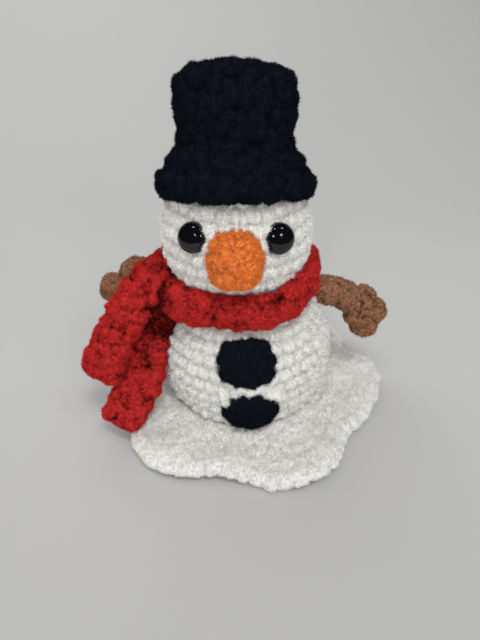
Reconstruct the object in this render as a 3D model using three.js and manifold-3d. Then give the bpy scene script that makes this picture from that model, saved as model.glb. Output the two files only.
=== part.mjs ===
// A crocheted toy snowman in thick chenille yarn, standing on a base that looks like melted snow.
// Millimetres, +Z up. The origin is on the table, under the middle of the body.
// The toy faces -Y, and left and right are its own.

import * as THREE from "three";
import { mergeVertices } from "three/addons/utils/BufferGeometryUtils.js";
import Module from "manifold-3d";

const wasm = await Module();
wasm.setup();

// Gap between pieces that touch, the depth of the stitches' relief, and the columns of the plain
// forms that neighbours are cut with
const GAP = 0.4;
const RELIEF = 0.9;
const ROOM_COLUMNS = 32;

// Melted base: its edge as [degrees anticlockwise from +X, radius], at each lobe and each notch
const BASE_EDGE = [
  [-150, 83.5], [-133, 90], [-118, 89.5], [-104, 81], [-90, 83], [-70, 91], [-56, 90.5],
  [-38, 80], [-20, 85.5], [2, 93], [12, 93.5], [23, 84.5], [42, 89], [58, 82], [76, 89.5], [92, 84],
  [108, 89.5], [125, 82.5], [142, 90], [158, 84], [174, 90], [190, 82],
];
const BASE_THICKNESS = 8;
const BASE_SWELL = 1.3;
const BASE_SEAT = 6;
const BASE_COLUMNS = 48;
// Its section as [share of the way to the edge, height], from the middle below to the middle above
const BASE_SECTION = [
  [0, 0], [0.55, 0], [0.86, 0], [0.97, 0.2], [1, 0.6], [0.965, 1], [0.9, 1.1], [0.78, 1],
  [0.68, 1.08], [0.6, 1.2], [0.52, 1.2], [0, 1.2],
].map(([share, height]) => [share, height * BASE_THICKNESS]);

// Body, head: [radius, height] up the side, from the flat below to the flat or tip on top
const BODY_SIDE = [
  [44.5, 6.4], [48.6, 14], [51.2, 24], [52.5, 38], [51.3, 51], [47.6, 62], [42, 72], [36, 79.5], [29, 86],
];
const BODY_ROUNDS = 9;
const BODY_STITCHES = 28;
const HEAD_X = -5.4;
const HEAD_SIDE = [
  [26.5, 86.4], [33, 91.6], [37.8, 100], [40.3, 109], [40.7, 118], [39.6, 127], [36.6, 136], [31.5, 143],
];
const HEAD_TOP = [[22, 148.5], [0, 152]];
const HEAD_ROUNDS = 7;
const HEAD_STITCHES = 22;
const HEAD_MIDDLE = 115;

// Hat, sewn on leaning back: [radius, height] from under the brim's lip up to the top
const HAT_FOOT = [-6, 0, 138.5];
const HAT_LEAN = 15;
const HAT_SIDE = [
  [34.5, -0.8], [39.8, -0.5], [42, 3.5], [41.2, 8.5], [38, 12.3], [35.5, 16], [32.3, 20.2], [30, 24.5],
  [29.7, 29], [30.1, 36], [30.9, 43], [30.8, 50.8], [27.8, 57.2], [19, 61],
];
const HAT_TOP = [[0, 62]];
const HAT_ROUNDS = 9;
const HAT_STITCHES = 16;
const HAT_HOLLOW = [[0, 6], [32, 6]];

// Nose: a blunt cone pointing forward
const NOSE_ROOT = [-5.9, -36, 121];
const NOSE_SIDE = [[14.2, -8], [14.6, 1], [13.6, 7], [11.4, 13], [8, 17.5], [3.5, 20]];
const NOSE_ROUNDS = 3;
const NOSE_STITCHES = 10;

// Safety eyes, 16 mm across
const EYES = { eye_left: [15.4, -32.8, 128], eye_right: [-26.4, -31.8, 128] };
const EYE_SIDE = [[7.4, -4], [8, 0.4], [7.5, 2.8], [5.9, 4.7], [3.2, 5.8]];
const EYE_TOP = 6.1;

// Buttons: crocheted discs, bent to the body
const BUTTONS = {
  button_upper: { at: [0.2, -48.8, 59], tilt: 18 },
  button_lower: { at: [2.2, -52, 27.5], tilt: -3 },
};
const BUTTON_RADIUS = 16.5;
const BUTTON_THICKNESS = 4.6;
const BUTTON_BEND = 50;
const BUTTON_SCALLOPS = 10;
const BUTTON_SCALLOP = 0.025;

// Scarf: a strip along its middle line, as [place, way that its face looks, share of the width]
const SCARF_WIDTH = 25;
const SCARF_THICKNESS = 9;
const SCARF_STEP = 7;
const SCARF_ROUND = [
  [[-43, -20, 89.5], [-0.85, -0.5, 0.1], 0.85],
  [[-35, -31, 89], [-0.65, -0.75, 0.05], 0.8],
  [[-20, -38.5, 89.2], [-0.35, -0.93, 0], 0.68],
  [[0, -41.5, 89.2], [0.05, -1, 0], 0.64],
  [[20, -36, 91], [0.5, -0.86, 0], 0.65],
  [[33, -19, 94], [0.88, -0.48, 0], 0.66],
  [[37, 1, 94.5], [1, 0, 0], 0.7],
  [[32.5, 19, 95], [0.87, 0.5, 0], 0.8],
  [[18, 35.5, 96.5], [0.5, 0.87, 0], 0.9],
  [[-3, 41, 98], [0, 1, 0], 0.9],
  [[-26, 36, 99], [-0.55, 0.83, 0.05], 0.9],
  [[-43, 20, 99], [-0.85, 0.35, 0.4], 0.95],
  [[-50, 3, 97], [-0.45, -0.35, 0.8], 1],
  [[-57, -11, 91], [-0.1, -0.65, 0.75], 1.05],
  [[-67, -22, 77], [0, -0.78, 0.62], 1.05],
  [[-77.5, -27.5, 57.5], [0, -0.82, 0.57], 1],
  [[-88, -32, 36.5], [-0.05, -0.82, 0.57], 1],
];
const SCARF_UNDER = [
  [[-41, -19, 90], [-0.82, -0.55, 0.1], 0.85],
  [[-47, -18, 82], [-0.75, -0.62, 0.15], 0.9],
  [[-52.5, -18, 71], [-0.7, -0.68, 0.15], 0.95],
  [[-58.5, -20.5, 53], [-0.6, -0.75, 0.2], 1],
  [[-62.5, -26, 37], [-0.35, -0.8, 0.35], 1.05],
  [[-68, -35.5, 24.5], [-0.25, -0.82, 0.45], 1.02],
  [[-77.5, -49, 13.5], [-0.2, -0.8, 0.5], 0.95],
];

// Arms: the middle line from inside the body outwards, and the hand's lobes as [place, radius]
const ARM_RADIUS = 7.8;
const ARMS = {
  arm_left: {
    line: [[38, 9, 72], [47, 9, 73.5], [60, 10, 70], [71, 11, 62]],
    lobes: [[[77, 12, 65], 8], [[85.5, 13, 55], 8], [[79.5, 11, 45.5], 8.5], [[75, 10, 55], 9]],
  },
  arm_right: {
    line: [[-38, 10, 73], [-47, 13, 76], [-60, 18, 76], [-72, 20, 71]],
    lobes: [[[-71, 26, 75.5], 9.5], [[-84.5, 20, 67.5], 9], [[-76, 21, 67], 8]],
  },
};

// A geometry's closed surface with shared corners and no empty triangles
function sealed(geometry) {
  geometry.deleteAttribute("normal");
  geometry.deleteAttribute("uv");
  const merged = mergeVertices(geometry, 1e-3);
  const index = merged.index.array;
  const kept = [];
  for (let i = 0; i < index.length; i += 3) {
    const [a, b, c] = index.slice(i, i + 3);
    if (a !== b && b !== c && c !== a) kept.push(a, b, c);
  }
  merged.setIndex(kept);
  return merged;
}

function toSolid(geometry) {
  return new wasm.Manifold(new wasm.Mesh({
    numProp: 3,
    vertProperties: Float32Array.from(geometry.attributes.position.array),
    triVerts: Uint32Array.from(geometry.index.array),
  }));
}

function toGeometry(solid) {
  const mesh = solid.getMesh();
  const geometry = new THREE.BufferGeometry();
  geometry.setAttribute("position", new THREE.BufferAttribute(mesh.vertProperties, 3));
  geometry.setIndex(new THREE.BufferAttribute(mesh.triVerts, 1));
  geometry.computeVertexNormals();
  return geometry;
}

function mesh(name, solid, material) {
  const object = new THREE.Mesh(toGeometry(solid), material);
  object.name = name;
  return object;
}

// Evenly spaced points up a smooth side
function spaced(side, count) {
  const curve = new THREE.SplineCurve(side.map(([r, z]) => new THREE.Vector2(r, z)));
  return curve.getSpacedPoints(count);
}

// A side and its outward directions, moved outwards by grow
function grown(points, grow) {
  return points.map((point, i) => {
    const before = points[Math.max(i - 1, 0)];
    const after = points[Math.min(i + 1, points.length - 1)];
    const along = after.clone().sub(before).normalize();
    return new THREE.Vector2(point.x + along.y * grow, point.y - along.x * grow);
  });
}

// A turned form whose side carries rounds of stitches: rows stand out and sink by turns, and the
// stitches of each row sit between those of the row below
function crocheted({ side, below = [], above = [], rounds, stitches }) {
  const rows = spaced(side, 2 * rounds);
  const high = grown(rows, RELIEF);
  const low = grown(rows, -RELIEF);
  const first = below.length;
  const profile = [...below.map(([r, z]) => new THREE.Vector2(r, z)), ...rows];
  above.forEach(([r, z]) => profile.push(new THREE.Vector2(r, z)));
  const geometry = new THREE.LatheGeometry(profile, 2 * stitches);
  const position = geometry.attributes.position;
  for (let i = 0; i < position.count; i += 1) {
    const column = Math.floor(i / profile.length);
    const row = (i % profile.length) - first;
    if (row < 1 || row >= rows.length - 1) continue;
    const crest = row % 2 === 1;
    const shifted = ((row - 1) / 2) % 2;
    const onStitch = (column + shifted) % 2 === 0;
    let place = low[row];
    if (crest) place = onStitch ? high[row] : rows[row];
    const turn = (column / (2 * stitches)) * 2 * Math.PI;
    position.setXYZ(i, place.x * Math.sin(turn), place.y, place.x * Math.cos(turn));
  }
  geometry.rotateX(Math.PI / 2);
  return sealed(geometry);
}

// A plain turned form just outside the stitches of a side, to cut its neighbours with
function room(side, top, grow) {
  const outer = grown(spaced(side, 8), grow);
  const first = outer[0];
  const last = outer[outer.length - 1];
  const profile = [new THREE.Vector2(0, first.y), ...outer];
  if (top === undefined) profile.push(new THREE.Vector2(0, last.y));
  else top.forEach(([r, z]) => profile.push(new THREE.Vector2(r, z + grow)));
  const geometry = new THREE.LatheGeometry(profile, ROOM_COLUMNS);
  geometry.rotateX(Math.PI / 2);
  return toSolid(sealed(geometry));
}

// A closed turned form, standing on +Z
function turned(profile, segments) {
  const geometry = new THREE.LatheGeometry(profile.map(([r, z]) => new THREE.Vector2(r, z)), segments);
  geometry.rotateX(Math.PI / 2);
  return sealed(geometry);
}

// The same, turned to stand along a direction and moved to its place
function pointed(geometry, at, direction) {
  const up = new THREE.Vector3(0, 0, 1);
  geometry.applyQuaternion(new THREE.Quaternion().setFromUnitVectors(up, direction.clone().normalize()));
  geometry.translate(...at);
  return geometry;
}

// Radius of the melted base's edge at an angle in degrees
function edgeRadius(degrees) {
  const count = BASE_EDGE.length;
  const turnStart = BASE_EDGE[0][0];
  const angle = turnStart + ((((degrees - turnStart) % 360) + 360) % 360);
  let k = count - 1;
  while (BASE_EDGE[k][0] > angle) k -= 1;
  const at = (n) => {
    const [a, r] = BASE_EDGE[((n % count) + count) % count];
    return [a + 360 * Math.floor(n / count), r];
  };
  const [[, r0], [a1, r1], [a2, r2], [, r3]] = [at(k - 1), at(k), at(k + 1), at(k + 2)];
  const t = (angle - a1) / (a2 - a1);
  const slope1 = (r2 - r0) / 2;
  const slope2 = (r3 - r1) / 2;
  const t2 = t * t;
  const t3 = t2 * t;
  return (2 * t3 - 3 * t2 + 1) * r1 + (t3 - 2 * t2 + t) * slope1
    + (3 * t2 - 2 * t3) * r2 + (t3 - t2) * slope2;
}

// Height of the soft waves on the base's top: none near the body, full near the edge
function swell(degrees, share) {
  const turn = THREE.MathUtils.degToRad(degrees);
  const wave = 0.6 * Math.cos(7 * turn + 0.8) + 0.4 * Math.cos(11 * turn + 2.1 + 4 * share);
  return BASE_SWELL * wave * THREE.MathUtils.smoothstep(share, 0.5, 0.95);
}

// The melted base, with the seat that the body stands in
function makeBase(bodyRoom) {
  const mean = BASE_EDGE.reduce((sum, [, radius]) => sum + radius, 0) / BASE_EDGE.length;
  const middle = 0.6;
  const geometry = turned(BASE_SECTION, BASE_COLUMNS);
  const position = geometry.attributes.position;
  const point = new THREE.Vector3();
  for (let i = 0; i < position.count; i += 1) {
    point.fromBufferAttribute(position, i);
    const share = Math.hypot(point.x, point.y);
    const turn = Math.atan2(point.y, point.x);
    const degrees = THREE.MathUtils.radToDeg(turn);
    const radius = share * (share > middle ? edgeRadius(degrees) : mean);
    const rise = point.z > GAP ? swell(degrees, share) : 0;
    position.setXYZ(i, radius * Math.cos(turn), radius * Math.sin(turn), point.z + rise);
  }
  const seatRadius = BODY_SIDE[0][0] + GAP / 2;
  const above = 2 * BASE_THICKNESS;
  const seat = [[0, BASE_SEAT], [seatRadius, BASE_SEAT], [seatRadius, above], [0, above]];
  return toSolid(geometry).subtract(bodyRoom).subtract(toSolid(turned(seat, ROOM_COLUMNS)));
}

// A closed outline of straight sides on a rounded rectangle, or on a circle when squareness is 1
function outlineOf(sides, radius, squareness) {
  const outline = new THREE.Shape();
  for (let k = 0; k < sides; k += 1) {
    const turn = (k / sides) * 2 * Math.PI;
    const x = radius * Math.sign(Math.cos(turn)) * Math.abs(Math.cos(turn)) ** squareness;
    const y = radius * Math.sign(Math.sin(turn)) * Math.abs(Math.sin(turn)) ** squareness;
    if (k === 0) outline.moveTo(x, y);
    else outline.lineTo(x, y);
  }
  return outline;
}

// A strip bent along a line of [place, way that its face looks, share of the width], with
// drawn-in ends
function strip(line, grow) {
  const places = new THREE.CatmullRomCurve3(line.map(([place]) => new THREE.Vector3(...place)));
  const faces = new THREE.CatmullRomCurve3(line.map(([, face]) => new THREE.Vector3(...face)));
  const shares = new THREE.CatmullRomCurve3(line.map(([, , wide]) => new THREE.Vector3(wide, 0, 0)));
  const steps = Math.round(places.getLength() / SCARF_STEP);
  const section = outlineOf(8, 1, 0.7);
  const geometry = new THREE.ExtrudeGeometry(section, { depth: 1, steps, bevelEnabled: false });
  const position = geometry.attributes.position;
  for (let i = 0; i < position.count; i += 1) {
    const share = position.getZ(i);
    const step = Math.round(share * steps);
    const end = step === 0 || step === steps ? 0.72 : 1;
    const relief = step % 2 === 0 ? RELIEF / 2 : -RELIEF / 2;
    const key = places.getUtoTmapping(share);
    const along = places.getTangent(key);
    const face = faces.getPoint(key);
    const across = new THREE.Vector3().crossVectors(face, along).normalize();
    face.crossVectors(along, across).normalize();
    const place = places.getPoint(key);
    const half = (SCARF_WIDTH / 2) * shares.getPoint(key).x + grow;
    place.addScaledVector(across, position.getX(i) * half * end);
    place.addScaledVector(face, position.getY(i) * ((SCARF_THICKNESS / 2 + grow) * end + relief));
    position.setXYZ(i, place.x, place.y, place.z);
  }
  return toSolid(sealed(geometry));
}

// A round tube along smooth points
function tube(points, radius) {
  const curve = new THREE.CatmullRomCurve3(points.map((point) => new THREE.Vector3(...point)));
  const geometry = new THREE.ExtrudeGeometry(outlineOf(8, radius, 1), { steps: 5, extrudePath: curve });
  return toSolid(sealed(geometry));
}

// A twig arm with the round lobes of its hand
function makeArm({ line, lobes }) {
  let arm = tube(line, ARM_RADIUS);
  lobes.forEach(([at, radius]) => {
    const ball = new THREE.SphereGeometry(radius, 8, 5);
    ball.translate(...at);
    arm = arm.add(toSolid(sealed(ball)));
  });
  return arm;
}

// A disc with a scalloped edge, bent to the body; what is inside the body is cut away later
function makeButton({ at, tilt }) {
  const bend = (r) => -(r * r) / (2 * BUTTON_BEND);
  const edge = BUTTON_RADIUS;
  const top = BUTTON_THICKNESS;
  const profile = [
    [0, -6], [edge - 1, -7.5], [edge, bend(edge) + 0.4 * top], [edge - 2, bend(edge - 2) + 0.9 * top],
    [edge / 2, bend(edge / 2) + top], [0, top],
  ];
  const geometry = turned(profile, 2 * BUTTON_SCALLOPS);
  const position = geometry.attributes.position;
  for (let i = 0; i < position.count; i += 1) {
    const turn = Math.atan2(position.getY(i), position.getX(i));
    const pull = 1 + BUTTON_SCALLOP * Math.cos(BUTTON_SCALLOPS * turn);
    position.setXY(i, position.getX(i) * pull, position.getY(i) * pull);
  }
  const lean = THREE.MathUtils.degToRad(tilt);
  return toSolid(pointed(geometry, at, new THREE.Vector3(0, -Math.cos(lean), Math.sin(lean))));
}

// The hat, leaning back, hollowed by the top of the head
function makeHat(headRoom) {
  const geometry = crocheted({
    side: HAT_SIDE,
    below: HAT_HOLLOW,
    above: HAT_TOP,
    rounds: HAT_ROUNDS,
    stitches: HAT_STITCHES,
  });
  geometry.rotateX(THREE.MathUtils.degToRad(-HAT_LEAN));
  geometry.translate(...HAT_FOOT);
  return toSolid(geometry).subtract(headRoom);
}

const yarn = (color) => new THREE.MeshStandardMaterial({ color, roughness: 0.95, metalness: 0 });
const white = yarn(0xf1f1f3);
const black = yarn(0x10131c);
const red = yarn(0xc81e1c);
const orange = yarn(0xef8d45);
const brown = yarn(0x95745b);
const plastic = new THREE.MeshStandardMaterial({ color: 0x08080a, roughness: 0.12, metalness: 0 });

// Cutting forms, then the pieces
const clear = RELIEF + GAP;
const bodyRoom = room(BODY_SIDE, undefined, clear);
const headRoom = room(HEAD_SIDE, HEAD_TOP, clear).translate([HEAD_X, 0, 0]);

const base = makeBase(bodyRoom);
const body = toSolid(crocheted({
  side: BODY_SIDE,
  below: [[0, BODY_SIDE[0][1]]],
  above: [[0, BODY_SIDE[BODY_SIDE.length - 1][1]]],
  rounds: BODY_ROUNDS,
  stitches: BODY_STITCHES,
}));
const head = toSolid(crocheted({
  side: HEAD_SIDE,
  below: [[0, HEAD_SIDE[0][1]]],
  above: HEAD_TOP,
  rounds: HEAD_ROUNDS,
  stitches: HEAD_STITCHES,
})).translate([HEAD_X, 0, 0]);
const scarf = strip(SCARF_ROUND, 0).add(strip(SCARF_UNDER, 0)).subtract(headRoom).subtract(bodyRoom);
const scarfRoom = strip(SCARF_ROUND, GAP).add(strip(SCARF_UNDER, GAP));

const snowman = new THREE.Group();
snowman.name = "snowman";
snowman.add(mesh("puddle", base, white));
snowman.add(mesh("body", body, white));
snowman.add(mesh("head", head, white));
snowman.add(mesh("hat", makeHat(headRoom), black));
snowman.add(mesh("scarf", scarf, red));

const noseForm = crocheted({
  side: NOSE_SIDE,
  below: [[0, NOSE_SIDE[0][1]]],
  above: [[0, NOSE_SIDE[NOSE_SIDE.length - 1][1] + 0.4]],
  rounds: NOSE_ROUNDS,
  stitches: NOSE_STITCHES,
});
const nose = toSolid(pointed(noseForm, NOSE_ROOT, new THREE.Vector3(0, -1, 0)));
snowman.add(mesh("nose", nose.subtract(headRoom), orange));

Object.entries(EYES).forEach(([name, at]) => {
  const outward = new THREE.Vector3(at[0] - HEAD_X, at[1], at[2] - HEAD_MIDDLE);
  const dome = turned([[0, EYE_SIDE[0][1]], ...EYE_SIDE, [0, EYE_TOP]], 12);
  snowman.add(mesh(name, toSolid(pointed(dome, at, outward)).subtract(headRoom), plastic));
});

Object.entries(BUTTONS).forEach(([name, place]) => {
  const button = makeButton(place).subtract(bodyRoom).subtract(base.translate([0, 0, GAP]));
  snowman.add(mesh(name, button, black));
});

Object.entries(ARMS).forEach(([name, shape]) => {
  const arm = makeArm(shape).subtract(bodyRoom).subtract(scarfRoom);
  snowman.add(mesh(name, arm, brown));
});

export default snowman;
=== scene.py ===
"""A crocheted toy snowman in chenille yarn, on a base like melted snow.

Each crocheted piece is a closed surface with rounds of stitches and tufts worked into it, and a
pile of short fibres on top. Lengths in the shapes below are in millimetres, and left and right
are the toy's own.
"""

import math

import bpy
import numpy as np
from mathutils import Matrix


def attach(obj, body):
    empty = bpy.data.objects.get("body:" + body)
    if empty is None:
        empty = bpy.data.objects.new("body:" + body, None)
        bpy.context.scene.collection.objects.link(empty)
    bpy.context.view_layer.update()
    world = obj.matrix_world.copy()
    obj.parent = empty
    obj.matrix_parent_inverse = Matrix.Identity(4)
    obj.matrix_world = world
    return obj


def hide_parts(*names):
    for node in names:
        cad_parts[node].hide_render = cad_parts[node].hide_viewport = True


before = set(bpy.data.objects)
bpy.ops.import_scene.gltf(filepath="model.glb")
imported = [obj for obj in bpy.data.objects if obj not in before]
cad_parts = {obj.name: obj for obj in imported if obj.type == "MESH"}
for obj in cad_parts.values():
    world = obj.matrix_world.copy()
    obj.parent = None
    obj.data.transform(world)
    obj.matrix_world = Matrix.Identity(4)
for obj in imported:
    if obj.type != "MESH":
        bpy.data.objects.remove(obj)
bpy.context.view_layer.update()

bl_info = {
    "name": "Crocheted snowman",
    "version": (1, 0, 0),
    "blender": (4, 5, 0),
    "location": "View3D > Sidebar > Snowman",
    "description": "Builds a crocheted snowman, its yarn and a plain stage",
    "category": "Add Mesh",
}

MM = 0.001

# Shapes of the turned pieces, close to the solids they replace. A side is [radius, height] rows.
BODY_SIDE = [
    [44.5, 6.4], [48.6, 14], [51.2, 24], [52.5, 38], [51.3, 51], [47.6, 62], [42, 72], [36, 79.5],
    [29, 86],
]
HEAD_X = -5.4
HEAD_MIDDLE = 115
HEAD_SIDE = [
    [26.5, 86.4], [33, 91.6], [37.8, 100], [40.3, 109], [40.7, 118], [39.6, 127], [36.6, 136],
    [31.5, 143], [22, 148.5], [3, 152],
]
HEAD_TOP = 153.5
# Lumps of yarn beside the eyes, towards the nose, and a crease over the nose: place, reach in
# each direction, and how far they stand out or go in
BESIDE_EYE, BESIDE_EYE_REACH, BESIDE_EYE_RISE = [9.3, -3, -1], [2.6, 9, 6.5], 3.4
CREASE, CREASE_REACH, CREASE_DEPTH = [-3.5, -37, 134.5], [0.8, 9, 5], 1.6
# Painted light on the brow under the hat's brim: the head's shade is raised from this height over
# this span
PAINTED_BROW_LIGHT_FROM, PAINTED_BROW_LIGHT_SPAN = 126, 8
HAT_FOOT = [-6, 0, 138.5]
HAT_LEAN = 15
HAT_SIDE = [
    [34, 0.8], [37.4, 1.2], [39.7, 3.4], [40.2, 6.2], [38.9, 9], [36.5, 11.2], [34.8, 13.4],
    [33.9, 16], [32.2, 18.4], [29.6, 20.6], [28.1, 23.5], [27.7, 29], [28.1, 36], [28.9, 43],
    [29, 49.6], [27.5, 54.5], [22, 58.2], [12, 59.8], [1.5, 60.2],
]
HAT_HOLLOW = [[1.5, 6], [16, 6], [32, 6]]
# The hollow and the brim's first rows are lifted off the head in small steps
HAT_CLEAR, HAT_LIFT, HAT_LIFTS, BRIM_ROWS = 1.6, 0.5, 40, 4
NOSE_ROOT = [-5.9, -36, 120.6]
NOSE_SIDE = [[12.2, -4], [12.4, 1], [12, 7], [10.6, 12.8], [7.8, 16.6], [3.6, 18.6], [0.8, 19]]
EYES = {"left": [15.4, -32.8, 128], "right": [-26.4, -31.8, 128]}
EYE_SIDE = [[7.4, -4], [8, 0.4], [7.5, 2.8], [5.9, 4.7], [3.2, 5.8], [0.4, 6.1]]
EYE_ROWS, EYE_COLUMNS = 30, 64
EYE_SPLAY = 0.3

# Each button's place and its tilt back in degrees. The upper one has two corners and a dent: how
# far they stand out, and their angle and half width in radians.
BUTTONS = {"upper": ([0.2, -48.8, 59], 18), "lower": ([2.2, -52, 27.5], -3)}
BUTTON_RADIUS = 16.5
BUTTON_THICKNESS = 4.6
BUTTON_BEND = 50
BUTTON_CORNERS = [[0.07, 2.45, 0.22], [0.05, 0.95, 0.2], [-0.08, 1.6, 0.25]]

# The body's yarn over the lower button's edge: [aside, up, rise, half width, half height]
YARN_OVER_BUTTON = [
    [-14, 10.5, 5, 3.6, 3.4], [13.5, 13, 6.5, 4, 3.2], [-6.5, 18.6, 5, 4, 2.4],
    [0.5, 17.9, 5, 4, 2.2], [7, 18.4, 5, 4, 2.4],
]
YARN_OVER_BUTTON_MOST = 6.5
# Painted shade over the whole body: its shade is multiplied by this, so its white is painted darker
BODY_PAINTED_SHADE = 0.4

# The base's wavy edge as [angle in degrees, radius], and its section from below round the rim to
# the top as [share of the radius, share of the thickness]
BASE_EDGE = [
    [-150, 83.5], [-133, 90], [-118, 89.5], [-104, 81], [-90, 83], [-70, 91], [-56, 90.5],
    [-38, 80], [-20, 85.5], [2, 93], [12, 93.5], [23, 84.5], [42, 89], [58, 82], [76, 89.5],
    [92, 84], [108, 89.5], [125, 82.5], [142, 90], [158, 84], [174, 90], [190, 82],
]
BASE_SECTION = [
    [0.8, 0.0], [0.88, 0.2], [0.95, 0.34], [0.985, 0.46], [1.0, 0.74], [0.98, 0.98], [0.93, 1.14],
    [0.86, 1.1], [0.78, 1.02], [0.7, 1.06], [0.6, 1.2], [0.5, 1.2],
]
BASE_UNDER_SHARES = [0.02, 0.5, 0.75]
BASE_MIDDLE_SHARES = [0.3, 0.02]
BASE_MIDDLE_HEIGHT = 6.2
BASE_THICKNESS = 8
BASE_REACH = 87.0
BASE_ROWS, BASE_COLUMNS = 96, 760
BASE_FLAT_SHARE = 0.5
BASE_RIM_SHARE = 0.93
BASE_WAVE = 1.3

# The scarf: its flat sizes, and how its surface is drawn. A row of a middle line is a place, the
# way the flat side faces there, and a share of the full width.
SCARF_WIDTH = 25
SCARF_THICKNESS = 9
SCARF_COLUMNS = 92
SCARF_GRID = 0.72
SCARF_SQUARE = 0.7
SCARF_END = 7
SCARF_ROW, SCARF_STITCHES, SCARF_MOST_ROWS = 8.2, 7.0, 80
SCARF_CLEAR = 0.9
SCARF_ROUND = [
    [-43, -20, 89.5, -0.85, -0.5, 0.1, 0.85], [-35, -31, 89, -0.65, -0.75, 0.05, 0.8],
    [-20, -38.5, 89.2, -0.35, -0.93, 0, 0.68], [0, -41.5, 89.2, 0.05, -1, 0, 0.64],
    [20, -36, 91, 0.5, -0.86, 0, 0.65], [33, -19, 94, 0.88, -0.48, 0, 0.66],
    [37, 1, 94.5, 1, 0, 0, 0.7], [32.5, 19, 95, 0.87, 0.5, 0, 0.8],
    [18, 35.5, 96.5, 0.5, 0.87, 0, 0.9], [-3, 41, 98, 0, 1, 0, 0.9],
    [-26, 36, 97, -0.55, 0.83, 0.05, 0.9], [-43, 20, 95.5, -0.85, 0.35, 0.4, 0.85],
    [-49.5, 2.5, 95.5, -0.45, -0.35, 0.8, 0.82], [-57, -12.5, 91, -0.1, -0.65, 0.75, 0.84],
    [-67.5, -24, 78, 0, -0.78, 0.62, 0.82], [-78.5, -29.5, 58.5, 0, -0.82, 0.57, 0.86],
    [-88, -32.5, 37, -0.05, -0.82, 0.57, 0.98],
]
SCARF_UNDER = [
    [-41, -19, 90, -0.82, -0.55, 0.1, 0.85], [-47, -18, 82, -0.75, -0.62, 0.15, 0.9],
    [-52, -15.5, 70, -0.7, -0.68, 0.15, 0.95], [-58, -18, 52, -0.6, -0.75, 0.2, 1],
    [-62.5, -26, 37, -0.35, -0.8, 0.35, 1.05], [-68, -35.5, 24.5, -0.25, -0.82, 0.45, 1.02],
    [-77.5, -49, 13.5, -0.2, -0.8, 0.5, 0.95],
]
# Painted shade where each run comes out from under the fold: it is painted dark up to the first
# length along it, lightens over the second, and is plain from the third on
SCARF_PAINTED_FOLD_SHADE = ((3, 9, 14), (25, 22, 45))

# The arms, which are tubes and balls melted into one. Each has a middle line, and the lobes of its
# hand as [x, y, z, radius].
ARM_RADIUS = 7.8
ARM_ROWS, ARM_COLUMNS = 26, 32
LOBE_ROWS, LOBE_COLUMNS, LOBE_HOLE = 24, 40, 0.12
ARM_VOXEL = 0.7
ARMS = {
    "left": (
        [[38, 9, 72], [47, 9, 73.5], [60, 10, 70], [70, 11, 62]],
        [[75.5, 12, 64.5, 7.6], [83.6, 13, 55, 7.6], [78.3, 11, 46, 8], [74, 10, 55, 8.6]],
    ),
    "right": (
        [[-38, 10, 73], [-47, 13, 76], [-60, 18, 76], [-72, 20, 71]],
        [[-71, 26, 75.5, 9.5], [-84.5, 20, 67.5, 9], [-76, 21, 67, 8]],
    ),
}

# Each piece's number of fibres, and the seed that scatters them
FIBRES = {
    "base_crochet": (190000, 11), "body_crochet": (165000, 12), "head_crochet": (130000, 13),
    "hat_crochet": (90000, 14), "nose_crochet": (15000, 15), "scarf_crochet": (150000, 16),
    "arm_crochet_left": (16000, 17), "arm_crochet_right": (16000, 18),
    "button_crochet_upper": (7000, 19), "button_crochet_lower": (7000, 20),
}
# How fibres stand: how deep their roots are, the shortest one's share of the length, the share
# that is nearly upright, how far those and the others lean, and how they twist
FIBRE_SUNK = 0.2
FIBRE_SHORTEST = 0.45
FIBRE_UPRIGHT_SHARE = 0.35
FIBRE_LEANS = (0.3, 0.75)
FIBRE_TWIST = 0.25
# None reaches lower than this. Each takes the painted shade at its root with a random spread of its
# own, and its tip is painted lighter
FIBRE_LOWEST = 0.1
FIBRE_SHADE_SPREAD = 0.3
FIBRE_TIP_PAINTED_LIGHT = 0.12

# Each yarn's colour, the share of it that is left where creases are painted in shade, its sheen and
# its grain
YARNS = {
    "white_yarn": ("white", 0.87, 0.2, 0.9),
    "black_yarn": ("black", 1.0, 0.0, 1.2),
    "red_yarn": ("red", 0.06, 0.06, 1.9),
    "orange_yarn": ("orange", 0.3, 0.03, 1.8),
    "brown_yarn": ("brown", 0.1, 0.03, 2.2),
}
GRAIN_SIZE = 0.0016
PATCH_STRENGTH = 0.4

# A stitch's two legs, how far they stray and how uneven they are, and the pit beside them, in
# shares of a stitch's width and a round's height
LEG_ASIDE, LEG_SLANT = 0.16, 0.13
LEG_HALF_WIDTH, LEG_HALF_HEIGHT = 0.49, 0.59
LEG_RISE, LEG_ROLL = 0.9, 0.06
STRAY_ASIDE, STRAY_UP = 0.07, 0.1
UNEVEN_WIDTH, UNEVEN_RISE = 0.05, 0.16
PIT_DOWN, PIT_HALF_WIDTH, PIT_HALF_HEIGHT = 0.45, 0.22, 0.19
PIT_DEPTH = 0.55
FEWEST_STITCHES = 5
# The height of the mean surface among stitches, and the millimetres over which they fade out
STITCH_MEAN = 0.75
END_FADE = 4

# Tufts: how far a tuft reaches in its cell, the size of the coarse, fine and finest ones, and the
# height of the mean surface between their creases and tops
TUFT_REACH = 0.85
COARSE_TUFT, FINE_TUFT, FUZZ = 4.4, 2.4, 1.1
TUFT_MEAN = 0.6

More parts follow.
